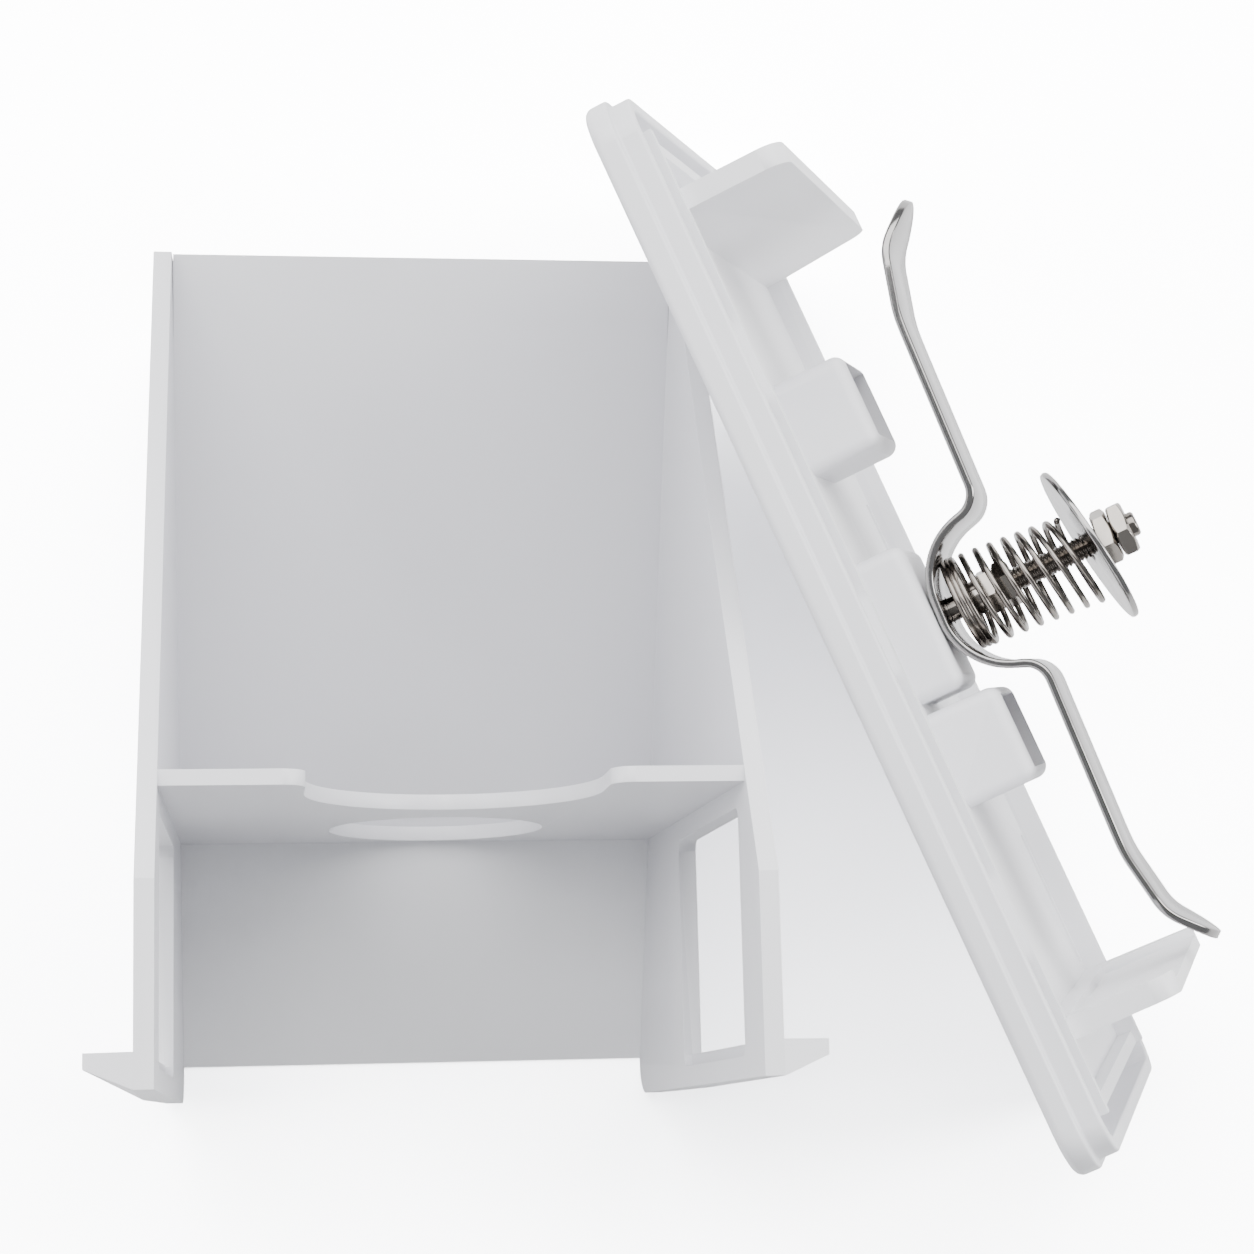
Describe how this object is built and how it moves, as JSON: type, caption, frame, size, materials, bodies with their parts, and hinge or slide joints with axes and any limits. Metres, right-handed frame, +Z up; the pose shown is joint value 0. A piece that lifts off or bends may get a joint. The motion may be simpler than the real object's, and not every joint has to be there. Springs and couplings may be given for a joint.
{
  "type": "hopper tray with clamp cover",
  "caption": "White moulded hopper tray with a sloping panel, scooped shelf and outlet, and a loose cover that carries a spring-loaded clamp strap.",
  "frame": {"origin": "middle of the whole arrangement's footprint, at floor level", "axes": "+Z up from the floor, +X across the tray towards the leaning cover, +Y from the tray's feet to its top edge"},
  "size_m": [0.2138, 0.2036, 0.118],
  "materials": {
    "white_moulding": "smooth moulded, satin",
    "cover_moulding": "smooth moulded, satin",
    "carrier_moulding": "smooth moulded, satin",
    "nickel_steel": "bright nickel plate",
    "nickel_strip": "bright nickel plate, lightly tumbled",
    "spring_wire": "bright drawn wire"
  },
  "bodies": {
    "tray": {"tray": "white_moulding"},
    "cover": {"face_cover": "cover_moulding", "clamp_carrier": "carrier_moulding", "clamp_screw": "nickel_steel", "spacer_sleeve": "nickel_steel", "inner_nut": "nickel_steel", "stop_nut": "nickel_steel", "end_washer": "nickel_strip", "clamp_nut": "nickel_steel", "lock_nut": "nickel_steel"},
    "coil": {"clamp_spring": "spring_wire"},
    "strap": {"clamp_strap": "nickel_strip"}
  },
  "joints": [
    {"name": "cover_lift", "type": "slide", "parent": "tray", "child": "cover", "axis": [0, 0, 1], "range_m": [0, 0.15]},
    {"name": "strap_turn", "type": "hinge", "parent": "cover", "child": "coil", "pos_m": [0.04955, 0.00213, 0.05978], "axis": [0.8476, 0.3624, 0.3875], "range_deg": [-20, 20]},
    {"name": "strap_press", "type": "slide", "parent": "coil", "child": "strap", "axis": [0.8476, 0.3624, 0.3875], "range_m": [0, 0.003], "stiffness_N_per_m": 495, "springref_m": -0.02, "deforming": ["clamp_spring"]}
  ]
}
